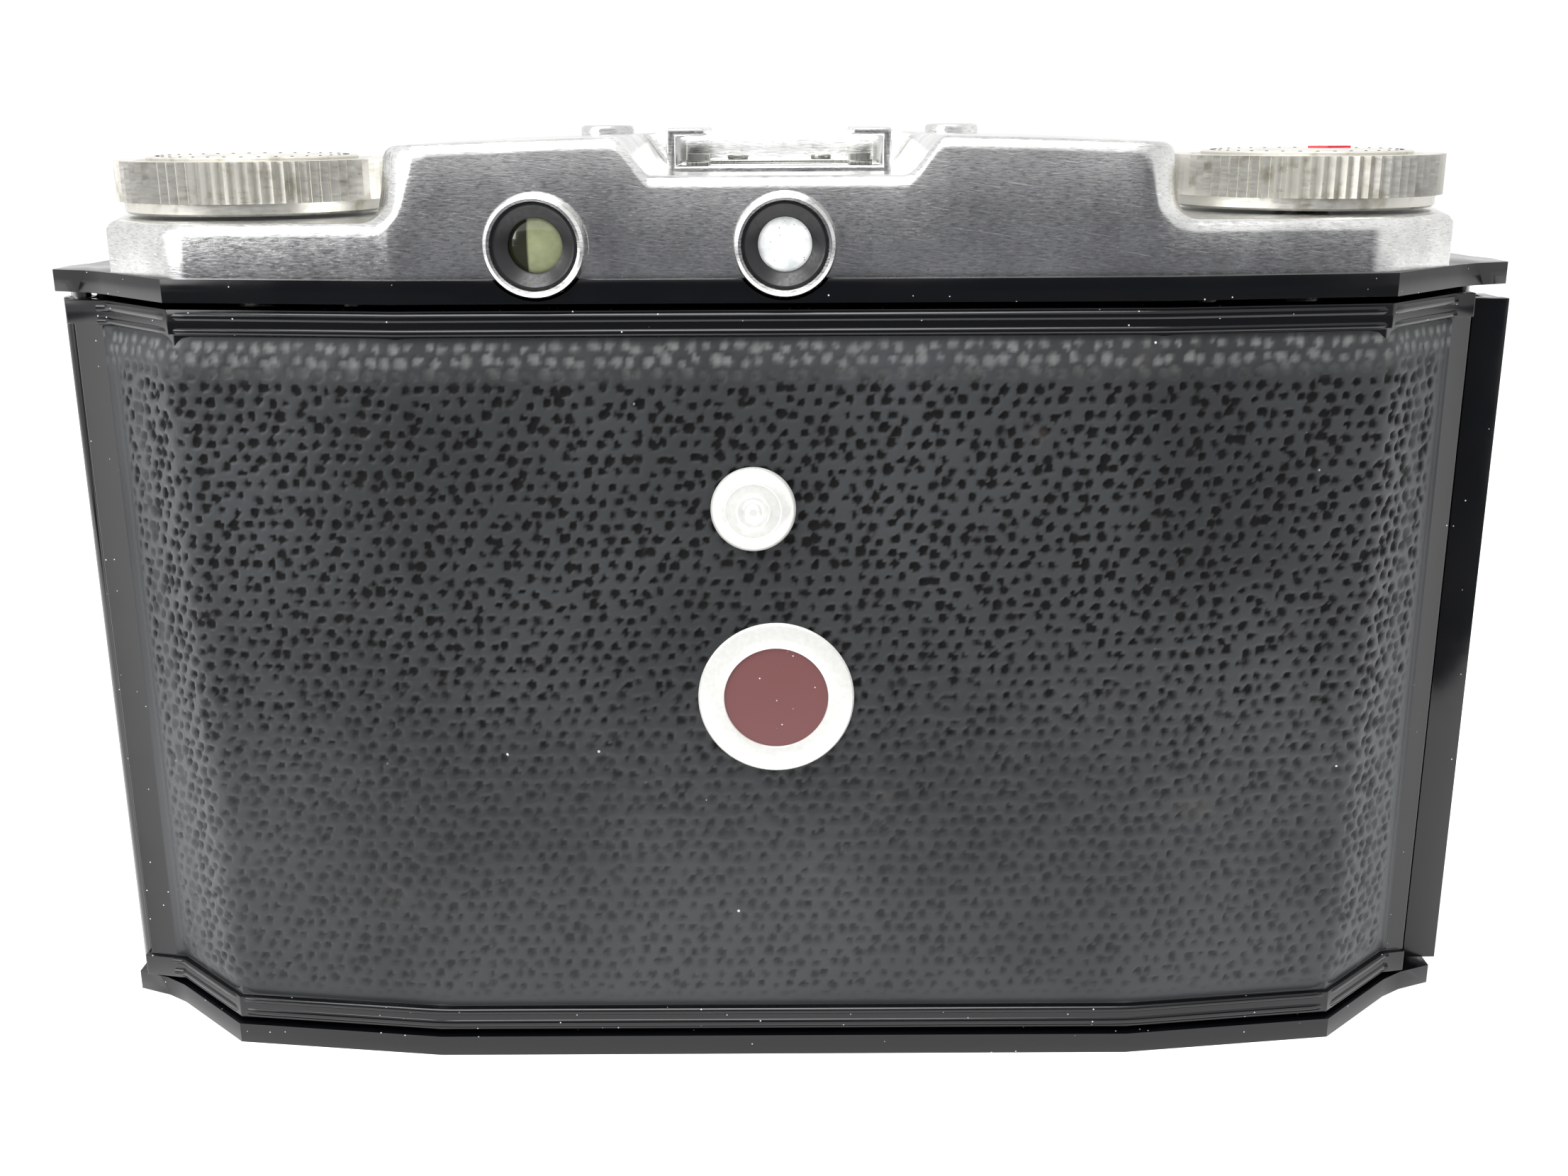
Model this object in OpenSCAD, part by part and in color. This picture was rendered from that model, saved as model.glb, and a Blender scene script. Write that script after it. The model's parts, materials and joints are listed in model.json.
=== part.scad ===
// Folding roll-film camera for 6 x 6 cm frames, folded shut and standing on its base.
// Origin: mouth of the tripod bush, in the base. +Z up, -Y towards the lens, +Y towards the back door.

/* [Body] */
// Half width of the base and top flanges at their end tabs
tab_x = 67; // [64.5:0.5:80]
// Height of the body, from the base to the top of the upper flange
body_h = 74; // [73:0.5:90]
// Thickness of each flange
flange_t = 2; // [1.5:0.1:3]
// Flange edge to the body's centre plane, at the back
back_y = 20.5; // [20.5:0.5:26]
// Flange edge to the body's centre plane, at the front
front_y = 15.5; // [15.5:0.5:20]
// Thickness of the cast body walls
wall = 2; // [1.4:0.1:2.5]

/* [Film] */
// Side of the square film gate
gate = 56; // [50:1:57]
// Radius of a film spool's flanges
spool_r = 12.5; // [11:0.1:12.6]
// Length of a film spool
spool_len = 65.5; // [60:0.5:66]
// Free space around a spool in its chamber
spool_gap = 0.8; // [0.5:0.1:1]

/* [Top cover] */
// Height of the cover's shoulders above the upper flange
shoulder_h = 4.6; // [4:0.1:6]
// Height of the cover's middle hump above the upper flange
hump_h = 11.4; // [10:0.1:13]
// Half width of the hump
hump_x = 34; // [32:0.5:35]
// Thickness of the cover's sheet
sheet_t = 0.8; // [0.6:0.1:1.2]
// Radius of the knurled wheels
wheel_r = 12.4; // [11:0.1:13]
// Radius of an eyepiece ring
ring_r = 4.35; // [3.8:0.05:4.5]
// Opening between the shoe's side walls
shoe_w = 18.6; // [18:0.1:20]

/* [Lens] */
// Travel of the lens standard from folded to open
travel = 46; // [38:1:48]
// Radius of the shutter housing
shutter_r = 19; // [17:0.5:19.5]
// Radius of the focusing ring
focus_r = 13; // [11:0.5:13.5]
// Height of the lens axis
axis_z = 37; // [36:0.5:40]

/* [Back door] */
// Thickness of the back door's sheet
door_t = 1.2; // [1:0.1:1.5]
// Thickness of the leather covering
leather_t = 0.7; // [0.5:0.1:0.8]
// Radius of the hinge pins
pin_r = 0.9; // [0.7:0.05:1]
// Radius of the red window's ring
window_r = 7.05; // [6:0.05:8]

/* [Fits] */
// Radial play between a shaft and its hole
play = 0.05; // [0.03:0.01:0.1]
// Space between parts that pass each other
clear = 0.4; // [0.3:0.05:0.5]

/* [Hidden] */
$fn = 96;
e = 0.01;
spool_x = tab_x - 17.5;
spool_y = 1;
chamber_r = spool_r + spool_gap;
end_r = chamber_r + wall + 1.2;
floor_z = flange_t;
ceil_z = body_h - flange_t;
throat_x = gate / 2 + 6;
throat_z0 = floor_z + wall;
throat_z1 = ceil_z - wall;
face_y = front_y - 1.2;
film_y = 13.5;
gate_t = 3;
door_z0 = floor_z + 0.6;
door_z1 = ceil_z - 0.6;
rim_h = 2.2;
hinge = [tab_x - 1.8, 6];
barrel_r = pin_r + 0.65;
roller_r = 2;
roller = [throat_x + 4.5, film_y - roller_r];
mid_z = body_h / 2;
spool_z0 = mid_z - spool_len / 2;
spool_z1 = mid_z + spool_len / 2;
wheel = [spool_x, spool_y];
shoulder_z = body_h + shoulder_h;
hump_z = body_h + hump_h;
wheel_z0 = shoulder_z + 0.3;
collar_h = 1.1;
knurl_h = 3.6;
finder_x = -0.5;
ranger_x = 20.6;
mirror_x = -22;
eye_z = body_h + 2.8;
cover_y = back_y - 1.3;
shoe = [0, 8.6, hump_z - 2.5];
shoe_len = 17;
release_x = -17;
button_y = -8;
window = [0.5, axis_z - 0.4];
knob = [2.4, axis_z + 17.1];
bed_hinge = [-front_y - 1.7, throat_z0 + 0.9];
bed_y = -front_y - 2.8;
bed_t = 2;
bed_z1 = throat_z1 + 1;
bed_x = throat_x + 0.5;
lens_back_y = 2.3;
plate_t = 1.2;
shutter_t = 9;
shutter_y = lens_back_y - plate_t - shutter_t;
cell_y = shutter_y - 6.2;
standard_x = throat_x - 3.6;
cell_r = 10.6;
strut_y = 1.7;
strut_w = 5;
strut_t = 0.8;
strut_z = [throat_z0 + strut_w / 2 + 1.5, throat_z1 - strut_w / 2 - 1.5];
strut_len = strut_z[1] - strut_z[0] - strut_w / 2 - 1.5;
lane = [throat_x - 2.9, throat_x - 1.7];
bellows_y = film_y - gate_t - 0.2;

// Half outline of the flanges from the middle of the front to the middle of the back.
end_arc = [for (a = [-90 : 10 : 0]) [spool_x + end_r * cos(a), spool_y + end_r * sin(a)]];
back_line = [[tab_x - 5.6, 10.3], [tab_x - 13.7, back_y - 2.6], [tab_x - 34, back_y]];
half_flange = concat([[0, -front_y]], end_arc,
    [[tab_x, 3.4], [tab_x, 7.4], [tab_x - 3.4, 8.8]], back_line, [[0, back_y]]);
half_plain = concat([[0, -front_y]], end_arc,
    [[tab_x - 1.2, 9.4]], back_line, [[0, back_y]]);

function mirrored(half) = concat(
    [for (i = [1 : len(half) - 2]) half[i]],
    [for (i = [len(half) - 2 : -1 : 1]) [-half[i].x, half[i].y]]);
function unit(v) = v / norm(v);
function inward(v) = [-v.y, v.x];
function corner_shift(a, b, c) = let (n1 = inward(unit(b - a)), n2 = inward(unit(c - b)))
    (n1 + n2) / (1 + n1 * n2);
function inset(pts, d) = let (n = len(pts)) [for (i = [0 : n - 1])
    pts[i] + d * corner_shift(pts[(i + n - 1) % n], pts[i], pts[(i + 1) % n])];

flange_plan = mirrored(half_flange);
plain_plan = mirrored(half_plain);

/* Helpers */
module slab(plan, z0, z1) translate([0, 0, z0]) linear_extrude(z1 - z0) polygon(plan);
module block(x0, x1, y0, y1, z0, z1) translate([x0, y0, z0]) cube([x1 - x0, y1 - y0, z1 - z0]);
module post(at, r, z0, z1) translate([at.x, at.y, z0]) cylinder(r = r, h = z1 - z0);
module both_sides() { children(); mirror([1, 0, 0]) children(); }
// A round bar along -Y, from y0 down to y1, centred on x and z.
module barrel(x, z, r, y0, y1) translate([x, y0, z]) rotate([90, 0, 0]) cylinder(r = r, h = y0 - y1);

/* Body */
module chamber() {
    post([spool_x, spool_y], chamber_r, floor_z, ceil_z);
    block(throat_x + wall, spool_x, -face_y + wall, back_y, floor_z, ceil_z);
    block(spool_x, tab_x, spool_y + 2.6, back_y, floor_z, ceil_z);
}
module body_casting() color("#15161a") difference() {
    union() {
        slab(flange_plan, 0, flange_t);
        slab(flange_plan, ceil_z, body_h);
        difference() {
            intersection() {
                slab(inset(plain_plan, 1.2), floor_z - e, ceil_z + e);
                block(-tab_x, tab_x, -front_y, film_y, 0, body_h);
            }
            both_sides() chamber();
        }
        both_sides() post([spool_x, spool_y], 4, floor_z - e, spool_z0 - 0.65);
        both_sides() bed_lug();
    }
    block(-throat_x, throat_x, -face_y - e, film_y - gate_t, throat_z0, throat_z1);
    block(-gate / 2, gate / 2, 0, back_y, axis_z - gate / 2, axis_z + gate / 2);
    both_sides() block(throat_x + wall + 0.3, tab_x, film_y - 4.2, back_y, floor_z, ceil_z);
    post([0, 0], 5, -e, throat_z0 + e);
    both_sides() post([spool_x, spool_y], 2.5 + play, 0.25, spool_z0);
    post([-spool_x, spool_y], 2.5 + play, ceil_z - e, body_h + e);
    post([spool_x, spool_y], 2.5, ceil_z - e, body_h + e);
    both_sides() post(roller, 0.8 + play, 1, body_h - 1);
    post(hinge, pin_r, 0.6, body_h - 0.6);
    post([-hinge.x, 2.2], 0.6, 0.6, body_h - 0.6);
    post([-hinge.x, 2.2], 1.15 + clear, floor_z, ceil_z);
    bed_pin(pin_r);
    both_sides() strut_pins(1);
    for (x = [ranger_x, finder_x]) barrel(x, eye_z, ring_r + 0.25, back_y + 1, cover_y - 3);
}
module bed_pin(r) translate([-32, bed_hinge[0], bed_hinge[1]]) rotate([0, 90, 0]) cylinder(r = r, h = 64);
module bed_lug() {
    block(28, 31, bed_hinge[0], -face_y + e, bed_hinge[1] - 1.5, bed_hinge[1] + 1.5);
    translate([28, bed_hinge[0], bed_hinge[1]]) rotate([0, 90, 0]) cylinder(r = 1.5, h = 3);
}
module tripod_bush() color("#b8b8b4") difference() {
    post([0, 0], 5, 0, throat_z0 + 2);
    post([0, 0], 2.6, -e, 5);
}
module front_leather() color("#26282a") both_sides() {
    block(throat_x + 3, spool_x, -face_y - leather_t, -face_y, door_z0, door_z1);
    intersection() {
        difference() {
            post([spool_x, spool_y], end_r - 1.2 + leather_t, door_z0, door_z1);
            post([spool_x, spool_y], end_r - 1.2, 0, body_h);
        }
        block(spool_x, tab_x, -front_y - 1, -2, 0, body_h);
    }
}
module back_hinge_pin() color("#9a9a96") post(hinge, pin_r, 0.6, body_h - 0.6);
module latch_pin() color("#9a9a96") post([-hinge.x, 2.2], 0.6, 0.6, body_h - 0.6);
module front_hinge_pin() color("#9a9a96") bed_pin(pin_r);

/* Film transport */
module film_roller(s) color("#c9c8c2") {
    post([s * roller.x, roller.y], roller_r, floor_z + 1, ceil_z - 1);
    post([s * roller.x, roller.y], 0.8, 1.1, body_h - 1.1);
}
module roller_left() film_roller(1);
module roller_right() film_roller(-1);
module spool(s) color("#3a3a3c") difference() {
    union() {
        post([s * spool_x, spool_y], 5.5, spool_z0, spool_z1);
        for (z = [spool_z0, spool_z1 - 1]) post([s * spool_x, spool_y], spool_r, z, z + 1);
    }
    for (z = [spool_z0 - e, spool_z1 - 8]) {
        post([s * spool_x, spool_y], 2.6, z, z + 8 + e);
        block(s * spool_x - 4.3, s * spool_x + 4.3, spool_y - 0.7, spool_y + 0.7, z, z + 8 + e);
    }
}
module take_up_spool() spool(-1);
module supply_spool() spool(1);
module spool_pin(s) color("#b8b8b4") post([s * spool_x, spool_y], 2.5, 2, spool_z0 + 1.75);
module spool_pin_left() spool_pin(1);
module spool_pin_right() spool_pin(-1);
module advance_shaft() color("#b8b8b4") {
    post([-spool_x, spool_y], 2.5, spool_z1 - 4, wheel_z0 + collar_h + knurl_h);
    block(-spool_x - 3.9, -spool_x + 3.9, spool_y - 0.5, spool_y + 0.5, spool_z1 - 4, spool_z1 - 1);
}
module supply_shaft() color("#b8b8b4") post([spool_x, spool_y], 2.5, spool_z1 - 4, body_h);
module knurled(at, r, n, depth, z0, z1) translate([at.x, at.y, z0]) linear_extrude(z1 - z0)
    polygon([for (i = [0 : 2 * n - 1]) let (a = i * 180 / n, q = r - (i % 2) * depth)
        [q * cos(a), q * sin(a)]]);
module top_wheel(s, bore) difference() {
    union() {
        post([s * spool_x, spool_y], wheel_r - 0.6, wheel_z0, wheel_z0 + collar_h + e);
        knurled([s * spool_x, spool_y], wheel_r, 76, 0.45, wheel_z0 + collar_h, wheel_z0 + collar_h + knurl_h);
    }
    post([s * spool_x, spool_y], bore, wheel_z0 - e, wheel_z0 + collar_h + knurl_h + e);
}
module top_disc(s) post([s * spool_x, spool_y], wheel_r - 2.8, wheel_z0 + collar_h + knurl_h,
    wheel_z0 + collar_h + knurl_h + 0.35);
module advance_wheel() color("#b8b6ae") top_wheel(-1, 2.5);
module reminder_wheel() color("#b8b6ae") top_wheel(1, 3 + play);
module advance_disc() color("#cfcdc6") top_disc(-1);
module reminder_disc() color("#cfcdc6") top_disc(1);

/* Top cover */
cover_arc = [for (a = [-90 : 10 : 0]) [spool_x + 13.4 * cos(a), spool_y + (front_y - 0.3) * sin(a)]];
cover_line = [[tab_x - 6.9, 11.3], [tab_x - 14.35, cover_y - 2.5], [tab_x - 34, cover_y]];
cover_plan = mirrored(concat([[0, spool_y - front_y + 0.3]], [[30, spool_y - front_y + 0.3]], cover_arc,
    cover_line, [[0, cover_y]]));
cover_front = spool_y - front_y + 0.3;
notch_x = shoe_w / 2 + sheet_t + 0.6;
module hump(d, z1) translate([0, 0, body_h]) linear_extrude(z1 - body_h) {
    r = 4 - d;
    x = hump_x - d;
    translate([-x, cover_front + d + r]) square([2 * x, cover_y - cover_front - 2 * d - 2 * r]);
    translate([-x + r, cover_front + d]) square([2 * (x - r), cover_y - cover_front - 2 * d]);
    for (sx = [-1, 1], y = [cover_front + d + r, cover_y - d - r]) translate([sx * (x - r), y]) circle(r);
}
dome_r = 580;
module crown(d) translate([0, back_y, hump_z + 0.6 - dome_r]) rotate([90, 0, 0])
    cylinder(r = dome_r - d, h = back_y + front_y, $fn = 720);
module cover_solid(d) {
    slab(inset(cover_plan, d), body_h, shoulder_z - d);
    intersection() {
        hump(d, hump_z + 2);
        crown(d);
    }
}
module window_cuts() for (w = front_window) block(w[0] - w[1], w[0] + w[1], cover_front - 1,
    cover_front + 1.6, w[2] - w[3], w[2] + w[3]);
front_window = [[finder_x, 8, body_h + 5.4, 4], [ranger_x, 3, eye_z + 0.3, 2.4],
    [mirror_x, 3, eye_z + 0.3, 2.4]];
fine_wheel = [-26.4, -9.4];
fine_r = 6;
fine_z = body_h + 5.8;
module top_cover() color("#c4c4c8") difference() {
    union() {
        difference() {
            cover_solid(0);
            translate([0, 0, -e]) cover_solid(sheet_t);
        }
        post([spool_x, spool_y], 3, shoulder_z - e, wheel_z0 + collar_h + knurl_h);
        block(-notch_x - sheet_t, notch_x + sheet_t, -shoe_len / 2 - 1.6, cover_y - e,
            shoe.z - 2 * sheet_t, hump_z);
    }
    block(-notch_x, notch_x, -shoe_len / 2 - 0.8, back_y, shoe.z - sheet_t, hump_z + 5);
    for (x = [ranger_x, finder_x]) barrel(x, eye_z, ring_r - 0.45, back_y, cover_y - 3);
    window_cuts();
    block(fine_wheel.x - fine_r - clear, fine_wheel.x + fine_r + clear, cover_front - 1, cover_front + 3,
        fine_z - clear, fine_z + 3 + clear);
    for (s = [-1, 1]) post([s * -release_x, button_y], 2.6 + play, shoulder_z, hump_z + 3);
    post([-spool_x, spool_y], 2.5 + play, body_h, shoulder_z + e);
    both_sides() barrel(42, body_h + 2.3, 0.8, cover_front + 2, cover_front - 1);
}
module accessory_shoe() color("#d8d8d8") translate([0, 0, shoe.z]) {
    block(-shoe_w / 2 - sheet_t, shoe_w / 2 + sheet_t, -shoe_len / 2, shoe.y, -sheet_t, 0);
    both_sides() {
        block(shoe_w / 2, shoe_w / 2 + sheet_t, -shoe_len / 2, shoe.y, -sheet_t, 3.3);
        block(shoe_w / 2 - 2.6, shoe_w / 2 + sheet_t, -shoe_len / 2, shoe.y, 2.6, 3.3);
    }
}
module shoe_spring() color("#a8a8a2") translate([0, 0, shoe.z]) {
    block(-shoe_w / 2 + 0.5, shoe_w / 2 - 0.5, -6, 0, 0, 0.35);
    both_sides() block(6.4, 8.4, -6, shoe.y - 1.2, 0, 0.35);
    both_sides() block(6.4, 8.4, 3, 5, 0.35 - e, 1);
}
module shoe_rivets() color("#8a8a86") for (x = [-4, 4]) post([x, -3], 1, shoe.z + 0.35, shoe.z + 0.75);
module eye_ring(x) color("#e4e4e4") difference() {
    union() {
        barrel(x, eye_z, ring_r, cover_y + 1.9, cover_y);
        barrel(x, eye_z, ring_r - 0.45, cover_y + e, cover_y - 3);
    }
    barrel(x, eye_z, ring_r - 0.75, cover_y + 2, cover_y - 4);
}
module viewfinder_ring() eye_ring(finder_x);
module rangefinder_ring() eye_ring(ranger_x);
module eyepiece_bezels() color("#101012") for (x = [ranger_x, finder_x]) difference() {
    barrel(x, eye_z, ring_r - 0.75, cover_y + 1.2, cover_y - 3);
    barrel(x, eye_z, 2.3, cover_y + 2, cover_y - 4);
}
module eye_glass(x) barrel(x, eye_z, 2.3, cover_y + 0.2, cover_y - 0.8);
module viewfinder_eyepiece() color("#f0f0f0") eye_glass(finder_x);
module rangefinder_eyepiece() color("#9aa080") eye_glass(ranger_x);
module front_windows() color("#b8c8d0") for (w = front_window) block(w[0] - w[1], w[0] + w[1],
    cover_front + 0.2, cover_front + 1.4, w[2] - w[3], w[2] + w[3]);
module beam_splitter() color("#c8d0b0") translate([ranger_x, 5, body_h + 0.2]) rotate([0, 0, 45])
    block(-3.4, 3.4, -0.5, 0.5, 0, 5.6);
module rangefinder_mirror() color("#c0c4c8") translate([mirror_x, 5, body_h + 0.2]) rotate([0, 0, 45]) {
    difference() {
        block(-3.4, 3.4, 0, 1, 0, 4.8);
        block(-4, 4, -e, 0.2, 4.4, 5);
    }
    post([0, 0], 0.9, -0.15, e);
}
module rangefinder_wheel() color("#b8b6ae") {
    knurled(fine_wheel, fine_r, 48, 0.35, fine_z, fine_z + 3);
    post(fine_wheel, 1.4, body_h + 0.1, fine_z + e);
}
module button(s) color("#d8d8d8") {
    post([s * -release_x, button_y], 2.6, shoulder_z + 0.5, hump_z + 1);
    post([s * -release_x, button_y], 3.4, shoulder_z + 0.5, shoulder_z + 1.5);
}
module release_button() button(-1);
module door_button() button(1);
module cover_screws() color("#b0b0ac") both_sides() {
    barrel(42, body_h + 2.3, 1.5, cover_front, cover_front - 0.6);
    barrel(42, body_h + 2.3, 0.8, cover_front + 2, cover_front);
}

/* Back door */
module door_shell(d0, d1, z0, z1) difference() {
    slab(inset(plain_plan, d0), z0, z1);
    slab(inset(plain_plan, d1), z0 - 1, z1 + 1);
}
module door_zone(x0, x1, y0) block(x0, x1, y0, back_y + 1, 0, body_h);
latch_edge = -(tab_x - 3.5);
module back_door() color("#15161a") difference() {
    union() {
        intersection() {
            union() {
                door_shell(0.8, 0.8 + door_t, door_z0, door_z1);
                for (z = [door_z0, door_z1 - rim_h]) door_shell(0.3, 1, z, z + rim_h);
            }
            door_zone(latch_edge, tab_x, hinge.y);
        }
        intersection() {
            union() for (z = [door_z0, door_z1 - door_t]) slab(inset(plain_plan, 1), z, z + door_t);
            door_zone(latch_edge, tab_x, film_y + 0.9);
        }
        post(hinge, barrel_r, door_z0, door_z1);
        block(latch_edge, latch_edge + door_t, 5, 8.6, door_z0, door_z1);
    }
    post(hinge, pin_r + play, 0, body_h);
    barrel(window.x, window.y, window_r - 1.75, back_y + 1, film_y);
    barrel(knob.x, knob.y, 1.2 + play, back_y + 1, film_y);
}
module back_leather() color("#2c2f30") difference() {
    intersection() {
        door_shell(0.8 - leather_t, 0.8, door_z0 + rim_h + 0.1, door_z1 - rim_h - 0.1);
        door_zone(-(tab_x - 5.2), tab_x - 4.6, 8);
    }
    barrel(window.x, window.y, window_r - 1.75, back_y + 1, film_y);
    barrel(knob.x, knob.y, 1.2 + play, back_y + 1, film_y);
}
skin_y = back_y - 0.8 + leather_t;
door_in_y = back_y - 0.8 - door_t;
module red_window_ring() color("#f3f0e6") difference() {
    union() {
        barrel(window.x, window.y, window_r, skin_y + 0.55, skin_y);
        barrel(window.x, window.y, window_r - 1.75, skin_y + e, door_in_y);
    }
    barrel(window.x, window.y, window_r - 2.35, back_y + 2, film_y);
}
module red_window_glass() color("#6b2f36") barrel(window.x, window.y, window_r - 2.35, skin_y - 0.5, skin_y - 1.3);
module window_knob() color("#e8e6e0") {
    barrel(knob.x, knob.y, 3.75, skin_y + 1.5, skin_y + 0.1);
    barrel(knob.x, knob.y, 1.2, skin_y + 0.2, door_in_y - 0.9);
}
module window_blind() color("#202024") translate([0, door_in_y - 0.2, 0]) rotate([90, 0, 0])
    linear_extrude(0.7) difference() {
        union() {
            translate(window) circle(window_r + 0.5);
            translate(knob) circle(3);
            translate([knob.x - 2.5, window.y + 5]) square([5, knob.y - window.y - 5]);
        }
        translate(knob) circle(1.2);
    }
plate_y = film_y + 0.5;
module pressure_plate() color("#1c1c20") difference() {
    block(-31, 31, plate_y, plate_y + 1.2, axis_z - 30, axis_z + 30);
    barrel(window.x, window.y, window_r - 1, back_y, film_y);
}
module plate_springs() color("#a8a8a2") for (z = [axis_z - 25, axis_z + 24]) {
    block(-22, 22, plate_y + 1.3, plate_y + 1.6, z, z + 5);
    block(-3, 3, plate_y + 1.5, door_in_y, z, z + 5);
}
module latch_strip() color("#15161a") difference() {
    union() {
        post([-hinge.x, 2.2], 1.15, door_z0, door_z1 - 0.8);
        block(-tab_x - 0.3, -tab_x + 1, 2.2, 6.8, door_z0, door_z1 - 0.8);
        block(-tab_x - 0.8, -tab_x + 2.5, 5.3, 6.8, door_z0, door_z1 - 0.8);
    }
    post([-hinge.x, 2.2], 0.6 + play, 0, body_h);
}

/* Folding front */
module front_door() color("#15161a") difference() {
    union() {
        block(-bed_x, bed_x, bed_y - bed_t, bed_y, bed_hinge[1] - 1, bed_z1);
        both_sides() block(bed_x - 1.2, bed_x, bed_y - e, -face_y - 0.5, bed_hinge[1] + 0.6, bed_z1);
        block(-bed_x, bed_x, bed_y - e, -face_y - 0.5, bed_z1 - 1.2, bed_z1);
        translate([-27, bed_hinge[0], bed_hinge[1]]) rotate([0, 90, 0]) cylinder(r = 1.55, h = 54);
    }
    both_sides() block(27, 32.6, bed_y - bed_t - 1, bed_y + 2, 0, bed_hinge[1] + 2.1);
    bed_pin(pin_r + play);
}
module front_door_leather() color("#26282a") block(-bed_x + 2, bed_x - 2, bed_y - bed_t - leather_t + 0.1,
    bed_y - bed_t, bed_hinge[1] + 3, bed_z1 - 3);
module strut_pins(r) for (k = [0, 1]) let (x = lane[1 - k] - 0.1)
    translate([x, strut_y, strut_z[k]]) rotate([0, 90, 0]) cylinder(r = r, h = throat_x + 1 - x);
module strut_pivots() color("#b0b0ac") both_sides() strut_pins(1);
module strut(x, z, dir) color("#a8a8a2") translate([x, strut_y, z]) difference() {
    union() {
        rotate([0, 90, 0]) cylinder(r = strut_w / 2, h = strut_t);
        translate([0, 0, dir * strut_len]) rotate([0, 90, 0]) cylinder(r = strut_w / 2, h = strut_t);
        translate([0, -strut_w / 2, dir > 0 ? 0 : -strut_len]) cube([strut_t, strut_w, strut_len]);
    }
    translate([-1, 0, 0]) rotate([0, 90, 0]) cylinder(r = 1 + play, h = strut_t + 2);
}
module strut_upper_left() strut(lane[0], strut_z[1], -1);
module strut_upper_right() mirror([1, 0, 0]) strut(lane[0], strut_z[1], -1);
module strut_lower_left() strut(lane[1], strut_z[0], 1);
module strut_lower_right() mirror([1, 0, 0]) strut(lane[1], strut_z[0], 1);
module lens_standard() color("#1c1c20") difference() {
    union() {
        block(-standard_x, standard_x, lens_back_y - plate_t, lens_back_y, axis_z - 25, axis_z + 25);
        both_sides() block(standard_x - 1, standard_x, lens_back_y - 5, lens_back_y,
            axis_z - 23.5, axis_z + 25);
    }
    barrel(0, axis_z, cell_r, lens_back_y + 1, lens_back_y - 3);
}
module frustum(half0, half1, y0, y1) hull() {
    block(-half0, half0, y0, y0 + e, axis_z - half0, axis_z + half0);
    block(-half1, half1, y1 - e, y1, axis_z - half1, axis_z + half1);
}
module bellows() color("#222226") difference() {
    frustum(21, 31.2, lens_back_y + 0.1, bellows_y);
    frustum(17, 28.2, lens_back_y, bellows_y + 0.1);
}
module ring_y(r1, r0, y0, y1) difference() {
    barrel(0, axis_z, r1, y0, y1);
    barrel(0, axis_z, r0, y0 + 1, y1 - 1);
}
lever_y = [shutter_y + 2, shutter_y + 5];
module shutter_housing() color("#c0c0c0") difference() {
    ring_y(shutter_r, cell_r, lens_back_y - plate_t, shutter_y);
    for (y = lever_y) ring_y(shutter_r + 1, shutter_r - 1.6, y + 1.2, y);
}
module lever(y, a, w) {
    ring_y(shutter_r - 0.2, shutter_r - 1.5, y + 1.1, y + 0.1);
    translate([0, y + 1.1, axis_z]) rotate([90, a, 0]) translate([shutter_r - 1, -w / 2, 0]) cube([4, w, 1]);
}
module cocking_lever() color("#d8d8d8") lever(lever_y[0], -60, 3);
module aperture_lever() color("#d8d8d8") lever(lever_y[1], -130, 2);
module speed_ring() color("#1c1c20") ring_y(shutter_r - 1.5, focus_r + 0.8, shutter_y - 0.1, shutter_y - 1.3);
module focus_ring() color("#1c1c20") ring_y(focus_r, 9.4, shutter_y - 0.1, cell_y);
module front_glass() color("#b8c8d0") barrel(0, axis_z, 9.4, cell_y + 3, cell_y + 1);
module rear_cell() color("#1c1c20") {
    ring_y(cell_r, 8, lens_back_y + 2.5, shutter_y + 5.6);
    barrel(0, axis_z, 8, lens_back_y + 2, lens_back_y);
}
module shutter_blades() color("#303034") barrel(0, axis_z, cell_r, shutter_y + 4.2, shutter_y + 3.8);

body_casting();
top_cover();
accessory_shoe();
shoe_spring();
shoe_rivets();
viewfinder_ring();
rangefinder_ring();
eyepiece_bezels();
viewfinder_eyepiece();
rangefinder_eyepiece();
front_windows();
beam_splitter();
rangefinder_mirror();
rangefinder_wheel();
release_button();
door_button();
tripod_bush();
cover_screws();
front_leather();
roller_left();
roller_right();
take_up_spool();
supply_spool();
spool_pin_left();
spool_pin_right();
advance_wheel();
advance_disc();
advance_shaft();
reminder_wheel();
reminder_disc();
supply_shaft();
back_door();
back_leather();
red_window_ring();
red_window_glass();
window_knob();
window_blind();
pressure_plate();
plate_springs();
back_hinge_pin();
latch_strip();
latch_pin();
front_door();
front_door_leather();
front_hinge_pin();
strut_upper_left();
strut_upper_right();
strut_lower_left();
strut_lower_right();
strut_pivots();
lens_standard();
bellows();
shutter_housing();
speed_ring();
focus_ring();
front_glass();
rear_cell();
shutter_blades();
cocking_lever();
aperture_lever();
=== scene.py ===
"""Looks of a folding roll-film camera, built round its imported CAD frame."""
import json
import math
import random

import bmesh
import bpy
from mathutils import Matrix, Vector, kdtree
from mathutils import noise as cloud


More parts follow.
